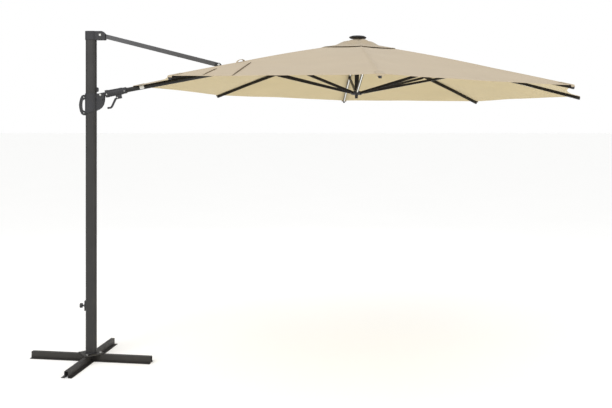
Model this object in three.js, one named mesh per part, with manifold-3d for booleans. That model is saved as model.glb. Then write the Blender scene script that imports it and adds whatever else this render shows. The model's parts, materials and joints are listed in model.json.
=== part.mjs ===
// Cantilever parasol: a steel cross base, a mast that turns on a round spigot, a slider that runs on
// the mast, a strut and a boom that carry the crown, eight ribs, eight stretchers and a fabric canopy.
// Units are millimetres and +Z is up. The boom points along +X, the mast axis is the line x = MAST_X,
// and the floor is z = 0. The parasol is drawn open.
import * as THREE from "three";
import { mergeVertices } from "three/addons/utils/BufferGeometryUtils.js";
import Module from "manifold-3d";

const wasm = await Module();
wasm.setup();

// ---- Driving dimensions ----
const GAP = 0.3; // clearance between pieces that touch
const RUN = 0.5; // clearance between pieces that slide or turn
const MAST_X = -1669.15; // mast axis in the part's frame, which puts the origin under the middle of its box

// Cross base.
const BASE_TURN = -7.9; // degrees, turn of the cross about the mast axis
const LONG_BEAM_HALF = 492;
const SHORT_BEAM_HALF = 422;
const BEAM = { width: 32, height: 50, flange: 27, wall: 3 };
const PLATE = { side: 150, thickness: 8, boltRadius: 74 };
const SPIGOT = { radius: 22, wall: 3, top: 560 };
const THRUST_RING = { inner: 27, outer: 46, thickness: 3 };

// Mast.
const MAST = { width: 84, depth: 60, corner: 26, wall: 3, top: 2540 };
const HEAD = { top: 2578, bottom: 2510, left: -46, nose: 114, cheekInner: 13.5, cheekOuter: 25 };
const LOCK_Z = 427;

// Four-bar fold: T is the strut's pivot on the mast head, S the boom's pivot on the slider and P the
// pivot between strut and boom. TP = SP, so S stays under T at every fold angle.
const PIVOT_X = 76;
const T_Z = 2547;
const S_Z = 2079;
const P_X = 1005;
const P_Z = (T_Z + S_Z) / 2;
const STRUT = { height: 34, width: 25, wall: 2.5 };
const SLEEVE = { top: 2090, bottomLeft: 1928, bottomRight: 1957, liner: 1.5, wall: 2.8 };

// Crown and its umbrella linkage: crown to rib pivot and rib to runner pivot are equally long.
const CROWN_X = 2090;
const CROWN_Z = 2448;
const CROWN_TILT = 1.35; // degrees, the crown leans down away from the mast
const RING_RADIUS = 42; // hinge ring of the crown and of the runner
const ARM = 850; // crown hinge to stretcher pivot, and stretcher pivot to runner
const PIN_RADIUS = 3; // hinge pins of the ribs and stretchers
const BOOM_RADIUS = 18;
const RIB = { width: 16, height: 22, reach: 1745, tipDrop: 353, lugDrop: 19 };
const STRETCHER = { width: 16, height: 18 };
const CHANNEL_WALL = 2; // ribs and stretchers are channels, open below
const FABRIC = { gap: 2, thickness: 1.6, openRadius: 120, reach: 1750, scallop: 62 };
const LIFT = { height: 13.5, from: 120, full: 350, end: 1200 }; // the crown holds the fabric off the ribs
const VENT_RADIUS = 367;

const GREY = { mast: 0x45464a, strut: 0x5b5d60, dark: 0x232324, rib: 0x1d1916, base: 0x3c3a39 };

// ---- Geometry helpers ----
const rad = THREE.MathUtils.degToRad;

function toSolid(geometry) {
  const bare = geometry.clone();
  bare.deleteAttribute("normal");
  bare.deleteAttribute("uv");
  const merged = mergeVertices(bare, 1e-4);
  const vertProperties = new Float32Array(merged.attributes.position.array);
  const triVerts = new Uint32Array(merged.index.array);
  return new wasm.Manifold(new wasm.Mesh({ numProp: 3, vertProperties, triVerts }));
}

function toGeometry(solid) {
  const mesh = solid.getMesh();
  const geometry = new THREE.BufferGeometry();
  geometry.setAttribute("position", new THREE.BufferAttribute(mesh.vertProperties, 3));
  geometry.setIndex(new THREE.BufferAttribute(mesh.triVerts, 1));
  geometry.computeVertexNormals();
  return geometry;
}

function join(first, ...others) {
  return toGeometry(others.reduce((sum, other) => sum.add(toSolid(other)), toSolid(first)));
}

function cut(first, ...others) {
  return toGeometry(others.reduce((rest, other) => rest.subtract(toSolid(other)), toSolid(first)));
}

function common(first, second) {
  return toGeometry(toSolid(first).intersect(toSolid(second)));
}

// Box between two corners.
function box(x0, x1, y0, y1, z0, z1) {
  const geometry = new THREE.BoxGeometry(x1 - x0, y1 - y0, z1 - z0);
  return geometry.translate((x0 + x1) / 2, (y0 + y1) / 2, (z0 + z1) / 2);
}

// Cylinders along Z, Y and X.
function rodZ(radius, z0, z1, x = 0, y = 0, sides = 24) {
  const geometry = new THREE.CylinderGeometry(radius, radius, z1 - z0, sides);
  return geometry.rotateX(Math.PI / 2).translate(x, y, (z0 + z1) / 2);
}

function rodY(radius, y0, y1, x, z, sides = 20) {
  const geometry = new THREE.CylinderGeometry(radius, radius, y1 - y0, sides);
  return geometry.translate(x, (y0 + y1) / 2, z);
}

function rodX(radius, x0, x1, y, z, sides = 24) {
  const geometry = new THREE.CylinderGeometry(radius, radius, x1 - x0, sides);
  return geometry.rotateZ(Math.PI / 2).translate((x0 + x1) / 2, y, z);
}

// Ring or disc turned about Z from an outline of [radius, z] points, anticlockwise.
function turned(outline, sides = 28) {
  const points = outline.map(([radius, z]) => new THREE.Vector2(radius, z));
  return new THREE.LatheGeometry([...points, points[0]], sides).rotateX(Math.PI / 2);
}

// Plate standing in the XZ plane: an outline of [x, z] points, given a thickness along Y.
function plateXZ(outline, y0, y1) {
  const shape = new THREE.Shape(outline.map(([x, z]) => new THREE.Vector2(x, z)));
  const settings = { depth: y1 - y0, bevelEnabled: false };
  return new THREE.ExtrudeGeometry(shape, settings).rotateX(Math.PI / 2).translate(0, y1, 0);
}

// Bar along X with a section of [y, z] points.
function barX(section, x0, x1) {
  const shape = new THREE.Shape(section.map(([y, z]) => new THREE.Vector2(y, z)));
  const bar = new THREE.ExtrudeGeometry(shape, { depth: x1 - x0, bevelEnabled: false });
  return bar.rotateX(Math.PI / 2).rotateZ(Math.PI / 2).translate(x0, 0, 0);
}

// Upright prism with a rounded-rectangle section.
function ovalZ(width, depth, corner, z0, z1) {
  const [x, y] = [width / 2, depth / 2];
  const shape = new THREE.Shape();
  shape.moveTo(corner - x, -y);
  shape.lineTo(x - corner, -y);
  shape.absarc(x - corner, corner - y, corner, -Math.PI / 2, 0);
  shape.absarc(x - corner, y - corner, corner, 0, Math.PI / 2);
  shape.absarc(corner - x, y - corner, corner, Math.PI / 2, Math.PI);
  shape.absarc(corner - x, corner - y, corner, Math.PI, 1.5 * Math.PI);
  const settings = { depth: z1 - z0, bevelEnabled: false, curveSegments: 6 };
  return new THREE.ExtrudeGeometry(shape, settings).translate(0, 0, z0);
}

// The mast's section, grown by a clearance on every side.
function mastPrism(grow, z0, z1) {
  return ovalZ(MAST.width + 2 * grow, MAST.depth + 2 * grow, MAST.corner + grow, z0, z1);
}

// Headed pin along Y.
function pinY(radius, headRadius, reach, head, x, z) {
  return join(
    rodY(radius, -reach - head, reach + head, x, z),
    rodY(headRadius, -reach - head, -reach, x, z),
    rodY(headRadius, reach, reach + head, x, z),
  );
}

function finish(color, roughness, metalness) {
  return new THREE.MeshStandardMaterial({ color, roughness, metalness });
}

const MATERIAL = {
  mast: finish(GREY.mast, 0.45, 0.6),
  strut: finish(GREY.strut, 0.45, 0.6),
  plastic: finish(GREY.dark, 0.55, 0.0),
  rib: finish(GREY.rib, 0.5, 0.5),
  base: finish(GREY.base, 0.5, 0.5),
  steel: finish(0xa9a9a6, 0.35, 0.9),
  nylon: finish(0x303032, 0.6, 0.0),
  fabric: finish(0xcbba9e, 0.95, 0.0),
  solar: finish(0x17191b, 0.15, 0.1),
};

function piece(parent, name, geometry, material) {
  const mesh = new THREE.Mesh(geometry, material);
  mesh.name = name;
  parent.add(mesh);
}

const part = new THREE.Group();
const standing = new THREE.Group();
standing.position.x = MAST_X;
part.add(standing);

// ---- Cross base ----
const BEAM_TOP = BEAM.height;
const PLATE_TOP = BEAM_TOP + GAP + PLATE.thickness;
const MAST_FOOT = PLATE_TOP + THRUST_RING.thickness + 2 * GAP;

// Upturned channel with a foot flange on each side.
function hatSection() {
  const half = BEAM.width / 2;
  const outer = half + BEAM.flange;
  const right = [
    [half - BEAM.wall, 0],
    [outer, 0],
    [outer, BEAM.wall],
    [half, BEAM.wall],
    [half, BEAM.height],
  ];
  const left = right.map(([y, z]) => [-y, z]).reverse();
  const inside = [[BEAM.wall - half, BEAM.height - BEAM.wall], [half - BEAM.wall, BEAM.height - BEAM.wall]];
  return [...right, ...left, ...inside];
}

function boltHoles(z0, z1) {
  return [0, 1, 2, 3].map((quarter) => {
    const angle = (quarter * Math.PI) / 2;
    return rodZ(5.5, z0, z1, PLATE.boltRadius * Math.cos(angle), PLATE.boltRadius * Math.sin(angle), 16);
  });
}

function buildBase() {
  const base = new THREE.Group();
  base.rotation.z = rad(BASE_TURN);
  standing.add(base);

  const holes = boltHoles(-1, 100);
  const longBeam = cut(barX(hatSection(), -LONG_BEAM_HALF, LONG_BEAM_HALF), ...holes);
  piece(base, "base_beam_long", longBeam, MATERIAL.base);

  const reach = BEAM.width / 2 + BEAM.flange + GAP;
  const arm = barX(hatSection(), reach, SHORT_BEAM_HALF);
  const frontArm = cut(arm.clone().rotateZ(-Math.PI / 2), ...holes);
  const backArm = cut(arm.clone().rotateZ(Math.PI / 2), ...holes);
  piece(base, "base_arm_front", frontArm, MATERIAL.base);
  piece(base, "base_arm_back", backArm, MATERIAL.base);

  const half = PLATE.side / 2;
  const plate = box(-half, half, -half, half, BEAM_TOP + GAP, PLATE_TOP).rotateZ(Math.PI / 4);
  piece(base, "base_plate", cut(plate, ...holes), MATERIAL.base);

  for (let quarter = 0; quarter < 4; quarter += 1) {
    const angle = (quarter * Math.PI) / 2;
    const bolt = join(
      rodZ(9.5, PLATE_TOP + GAP, PLATE_TOP + 7, 0, 0, 6),
      rodZ(5, BEAM_TOP - 22, PLATE_TOP + 1, 0, 0, 16),
    );
    bolt.translate(PLATE.boltRadius * Math.cos(angle), PLATE.boltRadius * Math.sin(angle), 0);
    piece(base, `base_bolt_${quarter + 1}`, bolt, MATERIAL.steel);
  }

  const { radius, wall, top } = SPIGOT;
  const spigot = turned([
    [radius - wall, PLATE_TOP + GAP],
    [radius + 3, PLATE_TOP + GAP],
    [radius, PLATE_TOP + 3],
    [radius, top],
    [radius - wall, top],
  ]);
  piece(base, "spigot_tube", spigot, MATERIAL.steel);

  const ringBottom = PLATE_TOP + GAP;
  const ring = turned([
    [THRUST_RING.inner, ringBottom],
    [THRUST_RING.outer, ringBottom],
    [THRUST_RING.outer, ringBottom + THRUST_RING.thickness],
    [THRUST_RING.inner, ringBottom + THRUST_RING.thickness],
  ]);
  piece(base, "thrust_ring", ring, MATERIAL.nylon);
}

// ---- Mast ----
const LOCK = { screwRadius: 6, bossLeft: -54, knobInner: -69, knobOuter: -87, knobRadius: 19 };

function buildMast() {
  const bore = mastPrism(-MAST.wall, 0, MAST.top + 10);
  const screwHole = rodX(LOCK.screwRadius + RUN, -80, -20, 0, LOCK_Z);
  const tube = cut(mastPrism(0, MAST_FOOT, MAST.top), bore, screwHole);
  piece(standing, "mast_tube", tube, MATERIAL.mast);

  const bushes = { mast_bush_lower: 74, mast_bush_upper: 490 };
  for (const [name, bottom] of Object.entries(bushes)) {
    const bush = cut(mastPrism(-MAST.wall - GAP, bottom, bottom + 45), rodZ(SPIGOT.radius + GAP, 0, 700));
    piece(standing, name, bush, MATERIAL.nylon);
  }

  const boss = cut(
    join(box(-50, -30, -17, 17, LOCK_Z - 39, LOCK_Z + 39), rodX(15, LOCK.bossLeft, -40, 0, LOCK_Z)),
    mastPrism(GAP, 300, 600),
    screwHole,
  );
  piece(standing, "lock_boss", boss, MATERIAL.plastic);

  const stop = cut(
    plateXZ([[30, 2101], [52, 2103], [57, 2110], [57, 2131], [52, 2138], [30, 2140]], -9, 9),
    mastPrism(GAP, 2000, 2200),
  );
  piece(standing, "slider_stop", stop, MATERIAL.plastic);
  piece(standing, "mast_head", buildHead(), MATERIAL.mast);
  piece(standing, "head_pin", pinY(6, 10, HEAD.cheekOuter + GAP, 5, PIVOT_X, T_Z), MATERIAL.steel);
}

// Cap that closes the mast and carries the strut between two cheeks.
function buildHead() {
  const { top, bottom, left, nose, cheekInner, cheekOuter } = HEAD;
  const side = [[left + 20, bottom], [nose - 4, bottom], [nose, bottom + 8], [nose, top - 22], [nose - 22, top]];
  const block = plateXZ([...side, [left + 20, top]], -cheekOuter, cheekOuter);
  const cap = mastPrism(4, bottom, top);
  const pocket = mastPrism(GAP, bottom - 10, MAST.top + GAP);
  const slot = box(PIVOT_X - 20, nose + 10, -cheekInner, cheekInner, bottom - 10, top + 10);
  return cut(join(block, cap), pocket, slot, rodY(6 + GAP, -50, 50, PIVOT_X, T_Z));
}

// Clamp screw with a lobed knob; its tip bears on the spigot.
function buildLockKnob() {
  const { knobInner, knobOuter, knobRadius, screwRadius } = LOCK;
  const lobes = 8;
  const outline = [];
  for (let step = 0; step < 6 * lobes; step += 1) {
    const angle = (step * 2 * Math.PI) / (6 * lobes);
    const radius = knobRadius - 1.5 * (1 - Math.cos(lobes * angle)) / 2;
    outline.push([radius * Math.cos(angle), LOCK_Z + radius * Math.sin(angle)]);
  }
  const knob = join(
    barX(outline, knobOuter, knobInner),
    rodX(screwRadius, knobInner - 2, -SPIGOT.radius - RUN, 0, LOCK_Z),
  );
  piece(standing, "lock_knob", knob, MATERIAL.plastic);
}

// ---- Slider ----
function buildSlider() {
  const { top, bottomLeft, bottomRight, liner, wall } = SLEEVE;
  const linerOuter = RUN + liner;
  const sleeveInner = linerOuter + GAP;
  const sleeveOuter = sleeveInner + wall;
  const left = -MAST.width / 2 - sleeveOuter;

  const side = [[left - 1, bottomLeft], [-left + 1, bottomRight], [-left + 1, top], [left - 1, top]];
  const shell = common(mastPrism(sleeveOuter, 1900, top), plateXZ(side, -60, 60));
  const cheekOutline = [
    [40, bottomRight - 2], [62, 1965], [82, 1980], [96, 2002], [103, 2028], [106, 2056],
    [106, 2080], [98, top], [40, top],
  ];
  const cheeks = [plateXZ(cheekOutline, -17, -10), plateXZ(cheekOutline, 10, 17)];
  const web = plateXZ([[40, bottomRight], [62, 1966], [62, 1980], [40, 1975]], -17, 17);
  const sleeve = cut(
    join(shell, ...cheeks, web),
    mastPrism(sleeveInner, 1800, 2200),
    rodY(6 + GAP, -50, 50, PIVOT_X, S_Z),
  );
  piece(standing, "slider_sleeve", sleeve, MATERIAL.mast);

  const linerSide = [[left - 1, bottomLeft + 6], [-left + 1, bottomRight + 6], [-left + 1, top], [left - 1, top]];
  const bush = cut(
    common(mastPrism(linerOuter, 1900, top), plateXZ(linerSide, -60, 60)),
    mastPrism(RUN, 1800, 2200),
  );
  piece(standing, "slider_liner", bush, MATERIAL.nylon);

  const grip = plateXZ([
    [-36, 2080], [-58, 2080], [-73, 2073], [-84, 2050], [-91, 2020], [-93, 2000], [-91, 1978],
    [-85, 1950], [-73, 1927], [-58, 1919], [-36, 1918], [-36, 1955], [-58, 1955], [-68, 1962],
    [-72, 1980], [-73, 2000], [-72, 2020], [-68, 2036], [-58, 2043], [-36, 2043],
  ], -13, 13);
  piece(standing, "slider_handle", cut(grip, mastPrism(sleeveOuter + GAP, 1800, 2200)), MATERIAL.plastic);
}

// ---- Strut ----
const P_DROP = Math.atan2(T_Z - P_Z, P_X - PIVOT_X); // slope of the strut and of the line S to P
const LINK = Math.hypot(P_X - PIVOT_X, T_Z - P_Z); // length of TP and of SP

function buildStrut() {
  const strut = new THREE.Group();
  strut.position.set(PIVOT_X, 0, T_Z);
  strut.rotation.y = P_DROP;
  standing.add(strut);

  const [half, side] = [STRUT.height / 2, STRUT.width / 2];
  const [inHalf, inSide] = [half - STRUT.wall, side - STRUT.wall];
  const barStart = 42;
  const barEnd = LINK - 34;
  const bar = cut(
    box(barStart, barEnd, -side, side, -half, half),
    box(barStart - 1, barEnd + 1, -inSide, inSide, -inHalf, inHalf),
  );
  piece(strut, "strut_bar", bar, MATERIAL.strut);

  const plugHalf = inHalf - GAP;
  const plugSide = inSide - GAP;
  const eye = cut(
    join(
      rodY(half, -12.5, 12.5, 0, 0, 24),
      box(0, barStart - GAP, -12.5, 12.5, -half, half),
      box(30, barStart + 45, -plugSide, plugSide, -plugHalf, plugHalf),
    ),
    rodY(6 + GAP, -40, 40, 0, 0),
  );
  piece(strut, "strut_top_eye", eye, MATERIAL.plastic);

  const end = cut(
    join(
      rodY(16, -12.5, 12.5, LINK, 0, 24),
      rodY(12, -LUG_INNER + RUN, LUG_INNER - RUN, LINK, 0, 24),
      box(barEnd + GAP, LINK, -12.5, 12.5, -16, 16),
      box(barEnd - 45, LINK - 20, -plugSide, plugSide, -plugHalf, plugHalf),
    ),
    rodY(6 + GAP, -40, 40, LINK, 0),
  );
  piece(strut, "strut_end_eye", end, MATERIAL.plastic);
}

// ---- Boom ----
// Boom frame: origin at S, +X along the boom axis, so the crown hinge is at x = BOOM_LENGTH.
const LUG_INNER = 23;
const LUG_OUTER = 29;
const TILT = rad(CROWN_TILT);
const HINGE_X = CROWN_X - RING_RADIUS * Math.cos(TILT);
const HINGE_Z = CROWN_Z + RING_RADIUS * Math.sin(TILT);
const BOOM_RISE = Math.atan2(HINGE_Z - S_Z, HINGE_X - PIVOT_X);
const BOOM_LENGTH = Math.hypot(HINGE_X - PIVOT_X, HINGE_Z - S_Z);
const LUG_X = LINK * Math.cos(P_DROP - BOOM_RISE);
const LUG_Z = LINK * Math.sin(P_DROP - BOOM_RISE);
const LEVER = { x: 125, z: -45 };
const BARREL = { start: 62, end: 175, radius: 27.5 };

// Crown linkage: the pivot line of every rib drops by this angle in the crown's frame.
const PIVOT_DROP = BOOM_RISE + TILT;
const PIVOT_OUT = ARM * Math.cos(PIVOT_DROP);
const PIVOT_DOWN = ARM * Math.sin(PIVOT_DROP);
const RIB_SPAN = RIB.reach - RING_RADIUS;
const RIB_BOW = (RIB.tipDrop / RIB_SPAN - (PIVOT_DOWN - RIB.lugDrop) / PIVOT_OUT) / (RIB_SPAN - PIVOT_OUT);
const RIB_SLOPE = RIB.tipDrop / RIB_SPAN - RIB_BOW * RIB_SPAN;

// Height of a rib's centre line at a distance outwards from its crown hinge, in the crown's frame.
function ribHeight(out) {
  return -out * (RIB_SLOPE + RIB_BOW * out);
}

function buildBoomRoot(boom) {
  const knuckle = cut(
    join(
      rodY(15, -9.5, 9.5, 0, 0, 24),
      box(0, 42, -9.5, 9.5, -15, 15),
      box(39, BARREL.start - GAP, -21, 21, -28, 28),
      rodX(BOOM_RADIUS, 55, 80, 0, 0),
    ),
    rodY(6 + GAP, -30, 30, 0, 0),
  );
  piece(boom, "boom_knuckle", knuckle, MATERIAL.plastic);

  const { start, end, radius } = BARREL;
  const barrelShell = [
    [BOOM_RADIUS + RUN, start], [radius - 2, start], [radius, start + 3], [radius, end - 3],
    [radius - 2, end], [25, end], [25, end + 28], [23, end + 31], [BOOM_RADIUS + RUN, end + 31],
  ];
  const barrel = turned(barrelShell).rotateY(Math.PI / 2);
  const ears = cut(
    box(LEVER.x - 10, LEVER.x + 32, -12, 12, LEVER.z - 10, -20),
    box(LEVER.x - 30, LEVER.x + 18, -6, 6, LEVER.z - 30, -BARREL.radius - 1),
    rodY(3 + GAP, -30, 30, LEVER.x, LEVER.z, 12),
    rodX(BOOM_RADIUS + RUN, 0, 300, 0, 0),
  );
  piece(boom, "tilt_housing", join(barrel, ears), MATERIAL.plastic);
  piece(boom, "lever_pin", pinY(3, 5, 12 + GAP, 2, LEVER.x, LEVER.z), MATERIAL.steel);
  piece(boom, "slider_pin", pinY(6, 9, 17 + RUN, 4, 0, 0), MATERIAL.steel);

  piece(boom, "pivot_bracket", buildPivotBracket(), MATERIAL.plastic);
  piece(boom, "strut_pin", pinY(6, 10, LUG_OUTER + GAP, 5, LUG_X, LUG_Z), MATERIAL.steel);
}

// U-shaped bracket: the boom turns in its saddle, and the canopy rail passes between its two lugs.
function buildPivotBracket() {
  const saddle = BOOM_RADIUS + RUN;
  const bottom = -saddle - 3;
  const right = [[14, bottom], [24, bottom + 8], [LUG_OUTER, -4], [LUG_OUTER, LUG_Z + 16]];
  const left = right.map(([y, z]) => [-y, z]).reverse();
  const upright = barX([...right, ...left], LUG_X - 22, LUG_X + 22);
  const sideView = plateXZ([
    [LUG_X - 22, -40], [LUG_X + 22, -40], [LUG_X + 22, 16], [LUG_X + 14, LUG_Z + 9],
    [LUG_X + 6, LUG_Z + 15], [LUG_X - 6, LUG_Z + 15], [LUG_X - 14, LUG_Z + 9], [LUG_X - 22, 16],
  ], -40, 40);
  return cut(
    common(upright, sideView),
    rodX(saddle, LUG_X - 50, LUG_X + 50, 0, 0),
    box(LUG_X - 50, LUG_X + 50, -LUG_INNER, LUG_INNER, 6, 100),
    rodY(6 + GAP, -50, 50, LUG_X, LUG_Z),
  );
}

// Hooked lever under the barrel that frees the boom for tilting.
function buildTiltLever(boom) {
  const arm = plateXZ([
    [131, -39], [131, -51], [112, -58], [72, -113], [58, -120], [38, -118], [33, -111], [38, -104],
    [56, -105], [63, -100], [101, -47], [119, -39],
  ].reverse(), -5, 5);
  const eye = rodY(7, -5, 5, LEVER.x, LEVER.z, 16);
  const ball = new THREE.SphereGeometry(8.5, 14, 10).translate(38, 0, -111);
  const lever = cut(join(arm, eye, ball), rodY(3 + GAP, -30, 30, LEVER.x, LEVER.z, 12));
  piece(boom, "tilt_lever", lever, MATERIAL.plastic);
}

const TUBE_START = 82;
const TUBE_END_GAP = 200; // from the tube's outer end to the crown hinge
const RAIL_START = 262; // from the crown hinge to the rail's inner end

function buildBoom() {
  const boom = new THREE.Group();
  boom.position.set(PIVOT_X, 0, S_Z);
  boom.rotation.y = -BOOM_RISE;
  standing.add(boom);
  buildBoomRoot(boom);
  buildTiltLever(boom);

  const tubeEnd = BOOM_LENGTH - TUBE_END_GAP;
  const inner = BOOM_RADIUS - 2.5;
  const tube = turned([
    [inner, TUBE_START], [BOOM_RADIUS, TUBE_START], [BOOM_RADIUS, tubeEnd], [inner, tubeEnd],
  ]).rotateY(Math.PI / 2);
  const forkHole = rodY(PIN_RADIUS + GAP, -30, 30, BOOM_LENGTH - ARM, 0, 14);
  piece(boom, "boom_tube", cut(tube, forkHole), MATERIAL.mast);

  const neck = plateXZ([
    [tubeEnd + GAP, -12], [BOOM_LENGTH - 60, -12], [BOOM_LENGTH - 16, -9],
    [BOOM_LENGTH - 16, 9], [BOOM_LENGTH - 60, 10], [tubeEnd + GAP, 10],
  ], -7, 7);
  const end = cut(
    join(
      neck,
      rodY(9, -4, 4, BOOM_LENGTH, 0, 18),
      box(BOOM_LENGTH - 20, BOOM_LENGTH, -4, 4, -9, 9),
      rodX(inner - GAP, tubeEnd - 45, tubeEnd + 4, 0, 0),
    ),
    rodY(PIN_RADIUS + GAP, -30, 30, BOOM_LENGTH, 0, 14),
  );
  piece(boom, "boom_end", end, MATERIAL.rib);
  piece(boom, "rib_1", buildRail(), MATERIAL.rib);
}

// Saddle rail on top of the boom that carries the canopy where the first rib would be.
function buildRail() {
  const crest = [];
  for (let step = 0; step <= RIB_STEPS; step += 1) {
    const out = RAIL_START + ((RIB_SPAN - RAIL_START) * step) / RIB_STEPS;
    const along = out * Math.cos(PIVOT_DROP) - ribHeight(out) * Math.sin(PIVOT_DROP);
    const above = out * Math.sin(PIVOT_DROP) + ribHeight(out) * Math.cos(PIVOT_DROP);
    crest.push([BOOM_LENGTH - along, above + RIB.height / 2]);
  }
  const underside = 13.6;
  const outline = [[crest.at(-1)[0], underside], [crest[0][0], underside], ...crest];
  return cut(plateXZ(outline, -12, 12), rodX(BOOM_RADIUS + GAP, 0, BOOM_LENGTH, 0, 0, 32));
}

// ---- Crown, ribs and canopy ----
const RIB_STEPS = 8;
const ARMS = [1, 2, 3, 4, 5, 6, 7, 8];
const armAngle = (number) => Math.PI - ((number - 1) * Math.PI) / 4;

// Hinge ring with a slot and a pin for every arm.
function hingeRing(body) {
  const slots = ARMS.map((number) => box(31.5, 70, -4.4, 4.4, -30, 30).rotateZ(armAngle(number)));
  const pins = ARMS.map((number) => rodY(PIN_RADIUS, -8, 8, RING_RADIUS, 0, 8).rotateZ(armAngle(number)));
  return join(cut(body, ...slots), ...pins);
}

// Turned solid whose outline starts and ends on the axis.
function turnedSolid(outline, sides = 24) {
  const points = outline.map(([radius, z]) => new THREE.Vector2(radius, z));
  return new THREE.LatheGeometry(points, sides).rotateX(Math.PI / 2);
}

function buildCrown(crown) {
  const post = { top: 0, bottom: -2 * PIVOT_DOWN + 22, topRadius: 20.5, bottomRadius: 16 };
  const hubBody = cut(
    turnedSolid([[0, -10], [44, -10], [48, -6], [48, 8], [44, 12], [0, 12]]),
    rodZ(post.topRadius + GAP, -20, post.top + GAP),
  );
  piece(crown, "crown_hub", hingeRing(hubBody), MATERIAL.plastic);

  const postBody = turnedSolid([
    [0, post.bottom], [post.bottomRadius, post.bottom], [post.topRadius, post.top - 40],
    [post.topRadius, post.top], [0, post.top],
  ], 24);
  piece(crown, "centre_post", join(postBody), MATERIAL.rib);

  const cap = turnedSolid([
    [0, 12 + GAP], [12, 12 + GAP], [12, 70], [42, 72], [66, 77], [69, 81], [67, 86], [54, 93],
    [30, 98], [0, 100],
  ]);
  piece(crown, "solar_cap", join(cap), MATERIAL.solar);
}

// How far the fabric stands off the ribs near the crown.
function fabricLift(radius) {
  const fall = Math.max(0, 1 - (radius / LIFT.end) ** 2);
  return LIFT.height * fall * THREE.MathUtils.smoothstep(radius, LIFT.from, LIFT.full);
}

// Fabric panels stretched over the ribs, flat between neighbours, with hollowed edges.
function buildCanopy(crown) {
  const { gap, thickness, openRadius, reach, scallop } = FABRIC;
  const under = [];
  for (let step = 0; step <= RIB_STEPS; step += 1) {
    const radius = openRadius + ((reach - openRadius) * step) / RIB_STEPS;
    under.push([radius, ribHeight(radius - RING_RADIUS) + RIB.height / 2 + gap + fabricLift(radius)]);
  }
  const over = under.map(([radius, z]) => [radius, z + thickness]).reverse();
  const sheet = turned([...under, ...over], ARMS.length);

  const edge = [];
  const edgeSteps = 8;
  for (const number of ARMS) {
    const [from, to] = [armAngle(number), armAngle(number + 1)];
    for (let step = 0; step < edgeSteps; step += 1) {
      const t = step / edgeSteps;
      const x = reach * ((1 - t) * Math.cos(from) + t * Math.cos(to));
      const y = reach * ((1 - t) * Math.sin(from) + t * Math.sin(to));
      const pull = 1 - (scallop * 4 * t * (1 - t)) / Math.hypot(x, y);
      edge.push(new THREE.Vector2(x * pull, y * pull));
    }
  }
  const trim = new THREE.ExtrudeGeometry(new THREE.Shape(edge), { depth: 700, bevelEnabled: false });
  trim.translate(0, 0, -600);

  const [lugX, lugZ] = [P_X - CROWN_X, P_Z - CROWN_Z];
  const openX = lugX * Math.cos(TILT) - lugZ * Math.sin(TILT);
  const lugOpening = box(openX - 54, openX + 48, -44, 44, -500, 100);
  piece(crown, "canopy_fabric", cut(common(sheet, trim), lugOpening), MATERIAL.fabric);

  const vent = turned([
    [30.5, 69], [50, 51], [80, 34.6], [130, 18.6], [230, -1.5], [VENT_RADIUS, -27.4],
    [VENT_RADIUS, -25], [230, 1.1], [130, 21.4], [80, 37.6], [52, 54], [33, 69],
  ], ARMS.length);
  piece(crown, "vent_cap", vent, MATERIAL.fabric);
}

// Rib in its arm's frame: +X outwards from the crown axis.
function ribGeometry() {
  const half = RIB.height / 2;
  const barStart = 16;
  const line = [];
  for (let step = 0; step <= RIB_STEPS; step += 1) {
    const out = barStart + ((RIB_SPAN - barStart) * step) / RIB_STEPS;
    line.push([RING_RADIUS + out, ribHeight(out)]);
  }
  const top = line.map(([x, z]) => [x, z + half]).reverse();
  const bottom = line.map(([x, z]) => [x, z - half]);
  const bar = plateXZ([...bottom, ...top], -RIB.width / 2, RIB.width / 2);

  const neckZ = ribHeight(barStart + 4);
  const neckX = RING_RADIUS + barStart + 4;
  const neck = plateXZ([[RING_RADIUS, -9], [neckX, neckZ - 9], [neckX, neckZ + 9], [RING_RADIUS, 9]], -4, 4);
  const [lugX, lugZ] = [RING_RADIUS + PIVOT_OUT, -PIVOT_DOWN];
  const roof = line.map(([x, z]) => [x, z + half - CHANNEL_WALL]).reverse();
  const mouth = line.map(([x, z]) => [x, z - half - 5]);
  const trough = plateXZ([...mouth, ...roof], CHANNEL_WALL - RIB.width / 2, RIB.width / 2 - CHANNEL_WALL);
  const solidEnds = [
    box(0, RING_RADIUS + barStart + 40, -20, 20, -100, 100),
    box(lugX - 16, lugX + 16, -20, 20, lugZ - 50, lugZ + 50),
    box(RIB.reach - 12, RIB.reach + 10, -20, 20, -500, 0),
  ];
  const channel = cut(bar, cut(trough, ...solidEnds));
  return cut(
    join(
      channel,
      neck,
      rodY(9, -4, 4, RING_RADIUS, 0, 14),
      rodY(7, -3, 3, lugX, lugZ, 12),
      box(lugX - 7, lugX + 7, -3, 3, lugZ, lugZ + 12),
    ),
    rodY(PIN_RADIUS + GAP, -30, 30, RING_RADIUS, 0, 10),
    rodY(PIN_RADIUS + GAP, -30, 30, lugX, lugZ, 10),
  );
}

// Stretcher in its own frame: the runner pivot at x = 0 and the rib pivot at x = ARM.
function stretcherGeometry() {
  const [side, half] = [STRETCHER.width / 2, STRETCHER.height / 2];
  const body = join(
    box(16, ARM - 13, -side, side, -half, half),
    box(0, 18, -4, 4, -8, 8),
    rodY(9, -4, 4, 0, 0, 14),
    box(ARM - 15, ARM, -side, side, -7, 7),
    rodY(7, -side, side, ARM, 0, 12),
  );
  const open = cut(
    body,
    box(34, ARM - 32, CHANNEL_WALL - side, side - CHANNEL_WALL, -half - 1, half - CHANNEL_WALL),
    box(ARM - 13, ARM + 10, -3.5, 3.5, -20, 20),
    rodY(PIN_RADIUS + GAP, -30, 30, 0, 0, 10),
  );
  return join(open, rodY(PIN_RADIUS, -6, 6, ARM, 0, 8));
}

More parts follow.
